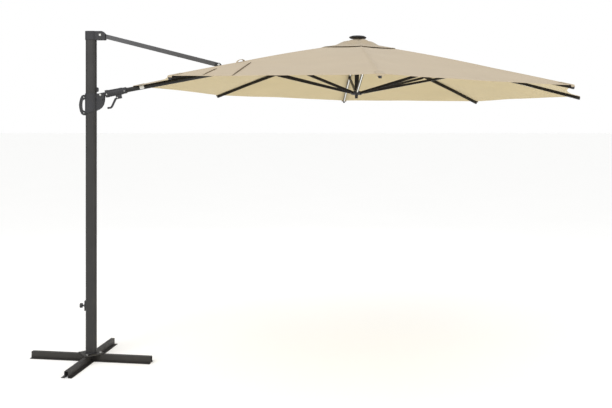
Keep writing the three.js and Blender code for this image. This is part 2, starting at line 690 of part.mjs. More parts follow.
// The first stretcher forks around the boom.
function forkedStretcherGeometry() {
  const [side, half] = [STRETCHER.width / 2, STRETCHER.height / 2];
  const prong = { inner: BOOM_RADIUS + 2, outer: BOOM_RADIUS + 7, crotch: 170 };
  const plan = [
    [16, -side], [ARM - 240, -side], [ARM - prong.crotch + 12, -prong.outer], [ARM, -prong.outer],
    [ARM, -prong.inner], [ARM - prong.crotch, -prong.inner], [ARM - 205, -4],
  ];
  const mirrored = plan.map(([x, y]) => [x, -y]).reverse();
  const shape = new THREE.Shape([...plan, ...mirrored].map(([x, y]) => new THREE.Vector2(x, y)));
  const body = new THREE.ExtrudeGeometry(shape, { depth: 14, bevelEnabled: false }).translate(0, 0, -7);
  const open = cut(
    join(
      body,
      box(16, ARM - 260, -side, side, -half, half),
      box(0, 18, -4, 4, -8, 8),
      rodY(9, -4, 4, 0, 0, 18),
      rodY(7, prong.inner, prong.outer, ARM, 0, 16),
      rodY(7, -prong.outer, -prong.inner, ARM, 0, 16),
    ),
    rodY(PIN_RADIUS + GAP, -30, 30, 0, 0, 14),
  );
  return join(open, rodY(PIN_RADIUS, -prong.outer + 1, prong.outer - 1, ARM, 0, 12));
}

function buildArms(crown) {
  const rib = ribGeometry();
  const stretcher = stretcherGeometry();
  for (const number of ARMS) {
    const arm = new THREE.Group();
    arm.rotation.z = armAngle(number);
    crown.add(arm);
    if (number > 1) {
      piece(arm, `rib_${number}`, rib, MATERIAL.rib);
    }
    const link = new THREE.Group();
    link.position.set(RING_RADIUS, 0, -2 * PIVOT_DOWN);
    link.rotation.y = -PIVOT_DROP;
    arm.add(link);
    const shape = number > 1 ? stretcher : forkedStretcherGeometry();
    piece(link, `stretcher_${number}`, shape, MATERIAL.rib);
  }
}

function buildRunner(crown) {
  const runner = new THREE.Group();
  runner.position.z = -2 * PIVOT_DOWN;
  crown.add(runner);
  const hub = turnedSolid([[0, -16], [36, -16], [46, -10], [48, -4], [48, 8], [44, 12], [0, 12]]);
  piece(runner, "lower_hub", hingeRing(hub), MATERIAL.plastic);
  const knob = turnedSolid([
    [0, -44], [9, -44], [12, -41], [12, -20], [15, -18], [15, -16 - GAP], [0, -16 - GAP],
  ], 24);
  piece(runner, "hub_knob", join(knob), MATERIAL.plastic);
}

function buildTop() {
  const crown = new THREE.Group();
  crown.position.set(CROWN_X, 0, CROWN_Z);
  crown.rotation.y = TILT;
  standing.add(crown);
  buildCrown(crown);
  buildCanopy(crown);
  buildArms(crown);
  buildRunner(crown);
}

buildBase();
buildMast();
buildLockKnob();
buildSlider();
buildStrut();
buildBoom();
buildTop();

export default part;
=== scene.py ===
"""Cantilever parasol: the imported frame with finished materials, a sewn canopy, trim and small hardware."""
import json
import math

import bpy
from mathutils import Matrix, Vector, noise

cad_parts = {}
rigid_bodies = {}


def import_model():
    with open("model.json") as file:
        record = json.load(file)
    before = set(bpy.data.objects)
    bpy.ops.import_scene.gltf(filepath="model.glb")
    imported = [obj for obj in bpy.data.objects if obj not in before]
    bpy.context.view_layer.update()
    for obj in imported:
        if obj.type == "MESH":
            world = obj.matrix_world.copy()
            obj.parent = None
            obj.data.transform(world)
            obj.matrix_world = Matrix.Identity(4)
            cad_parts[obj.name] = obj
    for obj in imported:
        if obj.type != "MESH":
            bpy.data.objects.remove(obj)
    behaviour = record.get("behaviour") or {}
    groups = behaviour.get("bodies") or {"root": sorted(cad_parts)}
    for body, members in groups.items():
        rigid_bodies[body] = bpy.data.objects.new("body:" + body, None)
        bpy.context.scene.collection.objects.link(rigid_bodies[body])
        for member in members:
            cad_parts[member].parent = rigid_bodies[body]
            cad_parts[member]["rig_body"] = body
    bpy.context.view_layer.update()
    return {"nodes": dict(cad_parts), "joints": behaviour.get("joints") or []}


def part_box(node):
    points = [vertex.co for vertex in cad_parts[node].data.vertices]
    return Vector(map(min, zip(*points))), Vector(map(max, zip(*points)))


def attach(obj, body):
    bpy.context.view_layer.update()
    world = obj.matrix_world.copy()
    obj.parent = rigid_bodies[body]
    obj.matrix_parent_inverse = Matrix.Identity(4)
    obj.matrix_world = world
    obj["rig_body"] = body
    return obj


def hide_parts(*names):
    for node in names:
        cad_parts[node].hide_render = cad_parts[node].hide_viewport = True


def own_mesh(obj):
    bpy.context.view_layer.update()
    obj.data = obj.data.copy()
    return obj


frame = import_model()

NODES = frame["nodes"]
JOINTS = {joint["name"]: joint for joint in frame["joints"]}


def pivot(name):
    """Where a joint's axis passes, in the row frame."""
    return Vector(JOINTS[name]["pos_m"])


def axes(origin, along, across):
    """Matrix of a local frame: X along, Y across, Z up from both."""
    x = Vector(along).normalized()
    z = x.cross(Vector(across)).normalized()
    y = z.cross(x)
    return Matrix.Translation(origin) @ Matrix((x, y, z)).transposed().to_4x4()


# ---- Local frames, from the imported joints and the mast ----
CROWN_ORIGIN = (pivot("rib_3_fold") + pivot("rib_7_fold")) / 2
CROWN = axes(CROWN_ORIGIN, pivot("rib_5_fold") - CROWN_ORIGIN, pivot("rib_3_fold") - CROWN_ORIGIN)
BOOM = axes(pivot("slider_fold"), pivot("crown_fold") - pivot("slider_fold"), (0, 1, 0))
MAST_LOW, MAST_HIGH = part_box("mast_tube")
MAST = Matrix.Translation(((MAST_LOW.x + MAST_HIGH.x) / 2, 0, 0))

ARMS = range(1, 9)
GORE = math.radians(22.5)  # from a rib to the middle of the panel beside it


def arm_frame(number):
    """Local frame of a rib, with X outwards along it, on the crown."""
    return CROWN @ Matrix.Rotation(math.pi - (number - 1) * 2 * GORE, 4, "Z")


def rib_body(number):
    return "boom" if number == 1 else f"rib_{number}"


# ---- Rib curve, as in the CAD model ----
RING = (pivot("rib_5_fold") - CROWN_ORIGIN).length
LUG = arm_frame(5).inverted() @ pivot("stretcher_5_fold")
RIB_REACH = 1.745
RIB_HEIGHT = 0.022
TIP_DROP = 0.353
LUG_DROP = 0.019
SPAN = RIB_REACH - RING
LUG_OUT = LUG.x - RING
BOW = (TIP_DROP / SPAN - (-LUG.z - LUG_DROP) / LUG_OUT) / (SPAN - LUG_OUT)
SLOPE = TIP_DROP / SPAN - BOW * SPAN


def rib_height(radius):
    """Height of a rib's centre line at a radius, in the crown frame."""
    out = radius - RING
    return -out * (SLOPE + BOW * out)


# ---- Materials ----
def linear(r, g, b):
    """Linear colour from 8-bit sRGB."""
    def channel(value):
        value /= 255
        return value / 12.92 if value <= 0.04045 else ((value + 0.055) / 1.055) ** 2.4
    return (channel(r), channel(g), channel(b), 1)


def scaled(color, factor):
    return tuple(min(1, value * factor) for value in color[:3]) + (1,)


SOCKETS = {
    "specular_ior_level": "Specular IOR Level", "sheen_weight": "Sheen Weight",
    "sheen_roughness": "Sheen Roughness", "coat_weight": "Coat Weight", "coat_roughness": "Coat Roughness",
    "emission_color": "Emission Color", "emission_strength": "Emission Strength",
}


class Finish:
    """A material on one Principled shader, with helpers that add nodes."""

    def __init__(self, name, **constants):
        self.material = bpy.data.materials.new(name)
        self.material.use_nodes = True
        self.tree = self.material.node_tree
        self.shader = self.tree.nodes["Principled BSDF"]
        for socket, value in constants.items():
            self.shader.inputs[SOCKETS.get(socket, socket.title())].default_value = value
        self.normal = None

    def node(self, kind, inputs=(), **settings):
        node = self.tree.nodes.new(kind)
        for key, value in settings.items():
            setattr(node, key, value)
        for index, value in dict(inputs).items():
            if isinstance(value, bpy.types.NodeSocket):
                self.tree.links.new(value, node.inputs[index])
            else:
                node.inputs[index].default_value = value
        return node

    def place(self, stretch=(1, 1, 1), attribute=None):
        """Coordinates in metres, from the object or from a mesh attribute, scaled on each axis."""
        if attribute:
            source = self.node("ShaderNodeAttribute", attribute_name=attribute).outputs["Vector"]
        else:
            source = self.node("ShaderNodeTexCoord").outputs["Object"]
        return self.node("ShaderNodeMapping", {0: source, 3: stretch}).outputs[0]

    def noise(self, scale, detail=3.0, vector=None):
        vector = vector or self.place()
        inputs = {"Vector": vector, "Scale": scale, "Detail": detail, "Roughness": 0.55}
        return self.node("ShaderNodeTexNoise", inputs).outputs[0]

    def remap(self, value, low, high, to_low, to_high):
        inputs = {0: value, 1: low, 2: high, 3: to_low, 4: to_high}
        return self.node("ShaderNodeMapRange", inputs).outputs[0]

    def math(self, operation, first, second=0.0):
        return self.node("ShaderNodeMath", {0: first, 1: second}, operation=operation).outputs[0]

    def mix(self, factor, first, second):
        inputs = {0: factor, 6: first, 7: second}
        return self.node("ShaderNodeMix", inputs, data_type="RGBA").outputs[2]

    def bump(self, height, strength, distance):
        inputs = {"Height": height, "Strength": strength, "Distance": distance}
        if self.normal:
            inputs["Normal"] = self.normal
        self.normal = self.node("ShaderNodeBump", inputs).outputs[0]

    def finish(self, color, roughness):
        self.tree.links.new(color, self.shader.inputs["Base Color"])
        self.tree.links.new(roughness, self.shader.inputs["Roughness"])
        if self.normal:
            self.tree.links.new(self.normal, self.shader.inputs["Normal"])
        return self.material


def powder_coat(name, color, roughness, metallic=0.0, grain=1600.0, scuffs=0.25, along=(9, 9, 0.6)):
    """Painted metal: soft mottling, fine orange peel, faint rubbed lines along the part."""
    f = Finish(name, metallic=metallic, specular_ior_level=0.32)
    mottle = f.remap(f.noise(7, 4), 0.3, 0.7, 0, 1)
    tint = f.mix(mottle, scaled(color, 0.9), scaled(color, 1.1))
    speck = f.remap(f.noise(900, 2), 0.35, 0.7, 0, 0.35)
    tint = f.mix(speck, tint, scaled(color, 1.28))
    rubbed = f.remap(f.noise(30, 5, f.place(along)), 0.62, 0.72, 0, scuffs)
    tint = f.mix(rubbed, tint, scaled(color, 1.5))
    f.bump(f.noise(grain, 2), 0.16, 0.0004)
    f.bump(f.noise(45, 3), 0.06, 0.002)
    shine = f.remap(f.noise(22, 4), 0.3, 0.7, roughness - 0.06, roughness + 0.08)
    return f.finish(tint, shine)


def moulded(name, color, roughness, grain=1100.0):
    """Moulded plastic with a fine spark grain."""
    f = Finish(name, specular_ior_level=0.4)
    tint = f.mix(f.remap(f.noise(14, 3), 0.3, 0.7, 0, 1), scaled(color, 0.86), scaled(color, 1.14))
    f.bump(f.noise(grain, 2), 0.25, 0.0005)
    shine = f.remap(f.noise(60, 4), 0.3, 0.7, roughness - 0.08, roughness + 0.08)
    return f.finish(tint, shine)


def plated(name, color, roughness):
    """Zinc-plated steel with turning lines and light patches."""
    f = Finish(name, metallic=0.95)
    tint = f.mix(f.remap(f.noise(55, 4), 0.3, 0.7, 0, 1), scaled(color, 0.78), scaled(color, 1.08))
    f.bump(f.noise(500, 2, f.place((1, 1, 6))), 0.2, 0.0003)
    shine = f.remap(f.noise(130, 3), 0.3, 0.7, roughness - 0.08, roughness + 0.12)
    return f.finish(tint, shine)


THREAD = 0.0011  # spacing of the woven threads
STITCH = 0.0036  # length of a stitch and the space after it
SEAM_ROW_OUTER = 0.0052  # stitch rows: distances from the rib line
SEAM_ROW_INNER = 0.0022
HEM_ROW = 0.0165  # stitch row: distance from the hem


def woven(name, color, shade, stitched=True):
    """Canopy cloth. Its attribute "flat" holds the distance across the rib line, the distance along it
    and the distance from the hem."""
    f = Finish(name, sheen_weight=0.15, sheen_roughness=0.6, specular_ior_level=0.2)
    cloth = f.place(attribute="flat")
    parts = f.node("ShaderNodeSeparateXYZ", {0: cloth}).outputs
    across, along, hem = parts[0], parts[1], parts[2]

    weft = f.math("SINE", f.math("MULTIPLY", across, 2 * math.pi / THREAD))
    warp = f.math("SINE", f.math("MULTIPLY", along, 2 * math.pi / THREAD))
    weave = f.math("MULTIPLY", weft, warp)
    slub = f.noise(1, 2, f.place((900, 12, 1), "flat"))
    cross_slub = f.noise(1, 2, f.place((12, 900, 1), "flat"))
    patches = f.noise(3.2, 4)

    tint = f.mix(f.remap(patches, 0.3, 0.7, 0, 1), scaled(color, 0.965), scaled(color, 1.03))
    tint = f.mix(f.remap(slub, 0.45, 0.75, 0, 0.4), tint, scaled(color, 0.9))
    tint = f.mix(f.remap(cross_slub, 0.45, 0.75, 0, 0.4), tint, scaled(color, 1.08))
    tint = f.mix(f.remap(weave, -1, 1, 0, 0.12), tint, scaled(color, 0.75))
    f.bump(weave, 0.22, 0.0002)
    f.bump(f.noise(26, 4), 0.10, 0.004)

    if stitched:
        side = f.math("ABSOLUTE", across)
        stitch_rows = ((SEAM_ROW_OUTER, along, side), (SEAM_ROW_INNER, along, side), (HEM_ROW, across, hem))
        for distance, run, row in stitch_rows:
            line = f.math("ABSOLUTE", f.math("SUBTRACT", row, distance))
            near = f.remap(line, 0.0003, 0.0008, 1, 0)
            dash = f.math("SINE", f.math("MULTIPLY", run, 2 * math.pi / STITCH))
            thread = f.math("MULTIPLY", near, f.remap(dash, -0.5, -0.2, 0, 1))
            tint = f.mix(f.math("MULTIPLY", thread, 0.55), tint, scaled(color, shade))
            # Painted shade: the cloth darkens within about 2 mm of each stitch row, as if shade lay in the
            # seam's crease.
            painted_crease_shade = f.math("MULTIPLY", f.remap(line, 0.0004, 0.0022, 1, 0), 0.14)
            tint = f.mix(painted_crease_shade, tint, scaled(color, 0.6))
            f.bump(near, -0.35, 0.0006)
    dull = f.remap(f.noise(9, 3), 0.3, 0.7, 0.84, 0.95)
    return f.finish(tint, dull)


ANTHRACITE = linear(53, 52, 51)
BROWN = linear(24, 20, 16)
BEIGE = linear(181, 165, 139)
# Underside colour of the canopy cloth: lighter and yellower than the top, a painted glow of light through the
# cloth and from below.
UNDERSIDE_PAINTED_GLOW = linear(196, 179, 137)

MAST_COAT = powder_coat("anthracite_coat", ANTHRACITE, 0.42, 0.35)
STRUT_COAT = powder_coat("strut_coat", linear(78, 78, 79), 0.45, 0.25, along=(0.6, 9, 9))
CAST = powder_coat("cast_coat", linear(50, 50, 52), 0.5, 0.2, grain=700, scuffs=0.12)
BOOM_COAT = powder_coat("boom_coat", linear(36, 35, 34), 0.45, 0.3, along=(0.6, 9, 9))
BASE_COAT = powder_coat("base_coat", linear(56, 54, 51), 0.42, 0.35, grain=500, scuffs=0.4, along=(4, 4, 4))
RIB_COAT = powder_coat("rib_coat", BROWN, 0.45, 0.2, scuffs=0.15, along=(3, 3, 3))
BLACK = moulded("black_plastic", linear(40, 40, 42), 0.5)
RUBBER = moulded("black_rubber", linear(26, 26, 27), 0.75, 500)
NYLON = moulded("nylon_liner", linear(62, 62, 64), 0.6)
STEEL = plated("zinc_steel", linear(196, 196, 192), 0.32)
LIGHT = moulded("light_diffuser", linear(238, 238, 232), 0.45, 300)
LABEL = moulded("label_film", linear(226, 226, 224), 0.4, 200)
CLOTH = woven("canopy_cloth", BEIGE, 1.1)
# Underside material: the same cloth in that lighter, yellower colour, a painted glow.
CLOTH_UNDER_PAINTED_GLOW = woven("canopy_underside_painted_glow", UNDERSIDE_PAINTED_GLOW, 1.08)
# Vent cloth: the canopy cloth at 0.86 of its colour, darker as painted shade of the vent's puffs.
VENT_CLOTH_PAINTED_SHADE = woven("vent_cloth_painted_shade", scaled(BEIGE, 0.86), 1.12)
TRIM = woven("canopy_trim", scaled(BEIGE, 0.9), 1.12, stitched=False)
BINDING = woven("canopy_binding", linear(104, 86, 62), 1.4, stitched=False)


def solar_glass():
    """Dark cells under clear glass."""
    f = Finish("solar_glass", coat_weight=1.0, coat_roughness=0.05, specular_ior_level=0.6)
    parts = f.node("ShaderNodeSeparateXYZ", {0: f.place()}).outputs
    lines = f.math("SINE", f.math("MULTIPLY", parts[0], 2 * math.pi / 0.012))
    cell = f.remap(lines, 0.985, 1.0, 0, 1)
    dark = linear(24, 27, 33)
    tint = f.mix(f.remap(f.noise(70, 4), 0.35, 0.7, 0, 1), dark, linear(36, 41, 52))
    tint = f.mix(cell, tint, linear(92, 98, 104))
    f.bump(cell, 0.1, 0.0003)
    return f.finish(tint, f.remap(f.noise(40, 3), 0.3, 0.7, 0.1, 0.2))


SOLAR = solar_glass()


# ---- Mesh helpers ----
def make(name, vertices, faces, material, body, slot, place, sharp=None):
    """A mesh piece in the row frame, from vertices in a local frame, riding on a body."""
    mesh = bpy.data.meshes.new(name)
    mesh.from_pydata([tuple(vertex) for vertex in vertices], [], faces)
    mesh.transform(place)
    for found in material if isinstance(material, list) else [material]:
        mesh.materials.append(found)
    for polygon in mesh.polygons:
        polygon.use_smooth = True
    if sharp is not None:
        mesh.set_sharp_from_angle(angle=math.radians(sharp))
    mesh.validate()
    piece = bpy.data.objects.new(name, mesh)
    bpy.context.scene.collection.objects.link(piece)
    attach(piece, body)
    return piece


EDGE_ANGLE = math.radians(35)  # sharper edges than this are rounded


def round_edges(piece, width, segments=2):
    bevel = piece.modifiers.new("round_edges", "BEVEL")
    bevel.width = width
    bevel.segments = segments
    bevel.limit_method = "ANGLE"
    bevel.angle_limit = EDGE_ANGLE
    bevel.harden_normals = True
    return piece


def lathe(outline, sides=32):
    """Turned shape about Z from an outline of (radius, z), from the bottom up; ends on the axis close it."""
    vertices, rings = [], []
    for radius, z in outline:
        if radius < 1e-6:
            rings.append([len(vertices)] * sides)
            vertices.append((0, 0, z))
            continue
        rings.append([len(vertices) + side for side in range(sides)])
        for side in range(sides):
            angle = 2 * math.pi * side / sides
            vertices.append((radius * math.cos(angle), radius * math.sin(angle), z))
    faces = []
    for low, high in zip(rings, rings[1:]):
        for side in range(sides):
            after = (side + 1) % sides
            loop = []
            for corner in (low[side], low[after], high[after], high[side]):
                if corner not in loop:
                    loop.append(corner)
            if len(loop) > 2:
                faces.append(loop)
    return vertices, faces


def facing(origin, direction):
    """Matrix that stands a turned shape at a point, with its Z axis along a direction."""
    turn = Vector(direction).normalized().to_track_quat("Z", "Y").to_matrix().to_4x4()
    return Matrix.Translation(origin) @ turn


HEAD_SIDES = 24


def button_head(name, place, radius, height, body, material=None, slot="zinc_steel"):
    """Domed bolt head with a hexagon socket; its seat is the origin and it stands up along Z."""
    socket = radius * 0.42
    depth = height * 0.45
    outline = [(0, 0), (radius, 0), (radius, height * 0.35), (radius * 0.88, height * 0.75)]
    outline += [(radius * 0.62, height), (socket * 1.12, height)]
    vertices, faces = lathe(outline, HEAD_SIDES)
    rim = len(vertices) - HEAD_SIDES
    first = len(vertices)
    half_flat = math.pi / 6
    for z in (height, depth):
        for side in range(HEAD_SIDES):
            angle = 2 * math.pi * side / HEAD_SIDES
            off_flat = (angle + half_flat) % (math.pi / 3) - half_flat
            flat = socket * math.cos(half_flat) / math.cos(off_flat)
            vertices.append((flat * math.cos(angle), flat * math.sin(angle), z))
    floor = first + HEAD_SIDES
    for side in range(HEAD_SIDES):
        after = (side + 1) % HEAD_SIDES
        faces.append((rim + side, rim + after, first + after, first + side))
        faces.append((first + side, first + after, floor + after, floor + side))
    faces.append([floor + side for side in range(HEAD_SIDES)])
    return make(name, vertices, faces, material or STEEL, body, slot, place, sharp=40)


def cross_head(name, place, radius, height, body, material=None, slot="zinc_steel"):
    """Pan-head screw with a cross recess."""
    arm, half = radius * 0.6, radius * 0.16
    outline = [(0, 0), (radius, 0), (radius, height * 0.3)]
    outline += [(radius * 0.86, height * 0.8), (radius * 0.72, height)]
    vertices, faces = lathe(outline, HEAD_SIDES)
    ring = len(vertices) - HEAD_SIDES
    first = len(vertices)
    plus = [(arm, -half), (arm, half), (half, half), (half, arm), (-half, arm), (-half, half),
            (-arm, half), (-arm, -half), (-half, -half), (-half, -arm), (half, -arm), (half, -half)]
    for z in (height, height * 0.4):
        vertices += [(x, y, z) for x, y in plus]
    start = [23, 1, 3, 5, 7, 9, 11, 13, 15, 17, 19, 21]
    for corner in range(12):
        after = (corner + 1) % 12
        span = (start[after] - start[corner]) % HEAD_SIDES
        loop = [ring + (start[corner] + step) % HEAD_SIDES for step in range(span + 1)]
        faces.append(loop + [first + after, first + corner])
        faces.append((first + corner, first + after, first + 12 + after, first + 12 + corner))
    faces.append([first + 12 + corner for corner in range(12)])
    return make(name, vertices, faces, material or STEEL, body, slot, place, sharp=40)


def block(name, low, high, material, body, slot, place, edge=0.0006, taper=1.0):
    """Rounded bar between two corners, narrower at its outer X end by taper."""
    (x0, y0, z0), (x1, y1, z1) = low, high
    middle_y, middle_z = (y0 + y1) / 2, (z0 + z1) / 2
    vertices = []
    for x, share in ((x0, 1.0), (x1, taper)):
        for y, z in ((y0, z0), (y1, z0), (y1, z1), (y0, z1)):
            vertices.append((x, middle_y + (y - middle_y) * share, middle_z + (z - middle_z) * share))
    faces = [(0, 3, 2, 1), (4, 5, 6, 7), (0, 1, 5, 4), (1, 2, 6, 5), (2, 3, 7, 6), (3, 0, 4, 7)]
    return round_edges(make(name, vertices, faces, material, body, slot, place), edge, 3)


# ---- CAD nodes: finishes, rounded edges and smooth normals ----
CAD_FINISH = (
    ("base_bolt", STEEL, 0.0006), ("base_", BASE_COAT, 0.0008),
    ("spigot", STEEL, 0.0), ("thrust", NYLON, 0.0),
    ("mast_tube", MAST_COAT, 0.0006), ("mast_head", CAST, 0.0016), ("mast_bush", NYLON, 0.0),
    ("lock_boss", BLACK, 0.001), ("lock_knob", BLACK, 0.001), ("slider_stop", BLACK, 0.0015),
    ("slider_sleeve", CAST, 0.0012), ("slider_liner", NYLON, 0.0), ("slider_handle", BLACK, 0.003),
    ("strut_bar", STRUT_COAT, 0.0015), ("strut_pin", STEEL, 0.0008), ("strut_", BLACK, 0.001),
    ("boom_knuckle", BLACK, 0.0012),
    ("tilt_housing", CAST, 0.0008), ("tilt_lever", BLACK, 0.0015), ("lever_pin", STEEL, 0.0005),
    ("slider_pin", STEEL, 0.0008), ("head_pin", STEEL, 0.0008), ("pivot_bracket", BLACK, 0.0012),
    ("boom_tube", BOOM_COAT, 0.0006), ("boom_end", RIB_COAT, 0.0008), ("rib_", RIB_COAT, 0.0008),
    ("stretcher_", RIB_COAT, 0.0008), ("crown_hub", BLACK, 0.0008), ("lower_hub", BLACK, 0.0008),
    ("hub_knob", BLACK, 0.0008), ("centre_post", RIB_COAT, 0.0008),
)


def finish_cad(name, node):
    material, width = next((m, w) for prefix, m, w in CAD_FINISH if name.startswith(prefix))
    node.data.materials.clear()
    node.data.materials.append(material)
    for polygon in node.data.polygons:
        polygon.material_index = 0
        polygon.use_smooth = True
    weld = node.modifiers.new("weld", "WELD")
    weld.merge_threshold = 0.00002
    flat = node.modifiers.new("flat_faces", "DECIMATE")
    flat.decimate_type = "DISSOLVE"
    flat.angle_limit = math.radians(0.5)
    if width:
        round_edges(node, width)
    normals = node.modifiers.new("normals", "WEIGHTED_NORMAL")
    normals.keep_sharp = True


for node_name, cad_node in NODES.items():
    if node_name not in ("canopy_fabric", "vent_cap", "solar_cap"):
        finish_cad(node_name, cad_node)


# ---- Canopy ----
CLOTH_THICK = 0.0012
CLOTH_BASE = RIB_HEIGHT / 2 + 0.0024  # underside of the cloth above the ribs' centre lines
CANOPY_REACH = 1.750
CANOPY_START = 0.120
SCALLOP = 0.062
SAG = 0.009
HEM_DROOP = 0.016
LIFT = 0.0135
LIFT_END = 1.200
SEAM = (0.0, 0.0030, 0.0064, 0.0078)  # columns of the felled seam beside the rib line
FELLED = 3  # columns on each side that the seam's extra layers cover
SEAM_LIFT = 0.0011
VENT_START = 0.050
VENT_REACH = 0.367
VENT_TOP = 0.0560
VENT_DROP = 0.0820
VENT_BEND = 0.72
HEM = 0.020
HEM_LIFT = 0.0009
ROW_CROWDING = 1.15  # above 1, rows stand closer near the hem than near the start of a panel
ROW_GAP = 0.008  # least share of the length between a marked row and the next
WIDEST_SEAM = 0.8  # share of half the panel's width that its seam columns may take
TRACE = 0.0002  # gap that keeps two layers of cloth from coinciding
TRIM_THICK = 0.0014
POCKET_THICK = 0.0016
CANOPY_GRID = (34, 18)  # rows, and columns on each side of the seam
OPENING_GRID = (34, 16)
VENT_GRID = (14, 10)


def wrinkle(x, y, radius):
    """Small waves of the cloth at a point of the crown frame: soft all over, radial near the hem."""
    angle = math.atan2(y, x)
    soft = noise.noise(Vector((x * 3.1, y * 3.1, 0.4)))
    turning = Vector((math.cos(angle) * 6.5, math.sin(angle) * 6.5, radius * 0.9))
    pleat = noise.noise(turning)
    edge = min(1.0, max(0.0, (radius - 1.1) / 0.6))
    return 0.0022 * soft + 0.0016 * pleat * edge


class Surface:
    """One cover of the parasol: its profile along the ribs, and its shape between them."""

    def __init__(self, start, reach, height, scallop, billow):
        self.start, self.reach, self.height = start, reach, height
        self.scallop, self.billow = scallop, billow

    def hem_radius(self, share):
        """Polygon radius of the hem at a share of the chord, 0 on the rib and 0.5 between two ribs."""
        chord = 2 * self.reach * math.sin(GORE) * share
        distance = math.hypot(self.reach - chord * math.sin(GORE), chord * math.cos(GORE))
        return self.reach * (1 - self.scallop * 4 * share * (1 - share) / distance)

    def point(self, number, radius, chord, lift):
        """Point at a polygon radius and a signed distance along the chord from the rib, crown frame."""
        size = abs(chord)
        share = size / (2 * radius * math.sin(GORE))
        angle = math.pi - (number - 1) * 2 * GORE
        x = radius - size * math.sin(GORE)
        y = math.copysign(size * math.cos(GORE), chord)
        crown_x = x * math.cos(angle) - y * math.sin(angle)
        crown_y = x * math.sin(angle) + y * math.cos(angle)
        between = 4 * share * (1 - share)
        along = (radius - self.start) / (self.reach - self.start)
        z = self.height(radius) + self.billow(along, between, math.atan2(crown_y, crown_x)) + lift
        z += wrinkle(crown_x, crown_y, radius) * min(1.0, 3 * between)
        return Vector((crown_x, crown_y, z))


def smooth_step(value, low, high):
    share = min(1.0, max(0.0, (value - low) / (high - low)))
    return share * share * (3 - 2 * share)


def canopy_height(radius):
    """The crown holds the cloth a little off the ribs, out to LIFT_END."""
    lift = LIFT * max(0.0, 1 - (radius / LIFT_END) ** 2) * smooth_step(radius, CANOPY_START, 0.350)
    return rib_height(radius) + CLOTH_BASE + lift


def canopy_billow(along, between, _angle):
    along = min(1.0, max(0.0, along))
    return -between * (SAG * math.sin(math.pi * along) + HEM_DROOP * along * along)


def vent_height(radius):
    share = (radius - VENT_START) / (VENT_REACH - VENT_START)
    return VENT_TOP - VENT_DROP * max(0.0, share) ** VENT_BEND


def vent_billow(along, between, angle):
    """Uneven puffs round the collar, highest between the seams."""
    puff = math.sin(math.pi * min(1.0, max(0.0, along * 1.9)) ** 0.8) ** 2
    uneven = noise.noise(Vector((math.cos(angle) * 1.7, math.sin(angle) * 1.7, 3.1)))
    return puff * (0.0085 + (0.0125 + 0.014 * uneven) * between) - 0.002 * along * between


CANOPY = Surface(CANOPY_START, CANOPY_REACH, canopy_height, SCALLOP, canopy_billow)
VENT = Surface(VENT_START, VENT_REACH, vent_height, 0.010, vent_billow)


def open_edges(loops):
    """Directed edges that only one of the loops has, in the order they are met."""
    edges = {}
    for loop in loops:
        for start, end in zip(loop, loop[1:] + loop[:1]):
            if (end, start) in edges:
                del edges[(end, start)]
            else:
                edges[(start, end)] = True
    return edges


def store_flats(mesh, flats):
    """Cloth coordinates for the weave and the stitches."""
    attribute = mesh.attributes.new("flat", "FLOAT_VECTOR", "POINT")
    for index, flat in enumerate(flats):
        attribute.data[index].vector = flat


def cloth_mesh(name, rows, body, materials, thick, keep_face=None):
    """Closed sheet from rows of (under point, extra thickness, flat coordinates), all equally long. Returns
    the piece and the faces of its upper side."""
    height, width = len(rows), len(rows[0])
    vertices, flats = [], []
    for side in (1, 0):
        for row in rows:
            for point, extra, flat in row:
                vertices.append(point + Vector((0, 0, side * (thick + extra))))
                flats.append(flat)
    total = height * width
    faces, inner = [], []
    for i in range(height - 1):
        for j in range(width - 1):
            if keep_face and not keep_face(i, j):
                continue
            a, b = i * width + j, i * width + j + 1
            c, d = b + width, a + width
            loop = (a, d, c, b)
            faces.append(loop)
            inner.append(tuple(total + corner for corner in reversed(loop)))
    rim = [(end, start, total + start, total + end) for start, end in open_edges(faces)]
    mesh_faces = faces + inner + rim
    used = sorted({corner for face in mesh_faces for corner in face})
    place = {corner: index for index, corner in enumerate(used)}
    vertices, flats = [vertices[corner] for corner in used], [flats[corner] for corner in used]
    mesh_faces = [tuple(place[corner] for corner in face) for face in mesh_faces]
    piece = make(name, vertices, mesh_faces, materials, body, "canopy_beige", CROWN)
    mesh = piece.data
    store_flats(mesh, flats)
    if len(materials) > 1:
        for index in range(len(faces), len(faces) + len(inner)):
            mesh.polygons[index].material_index = 1
    mesh.set_sharp_from_angle(angle=math.radians(50))
    return piece, mesh_faces[:len(faces)]


def flat_area(piece, faces):
    """Area of four-cornered faces of a piece."""
    points = [vertex.co for vertex in piece.data.vertices]
    total = 0.0
    for a, b, c, d in faces:
        total += (points[b] - points[a]).cross(points[c] - points[a]).length / 2
        total += (points[c] - points[a]).cross(points[d] - points[a]).length / 2
    return total


def fold_away(piece):
    """Gives the piece a copy of its mesh, its own."""
    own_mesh(piece)


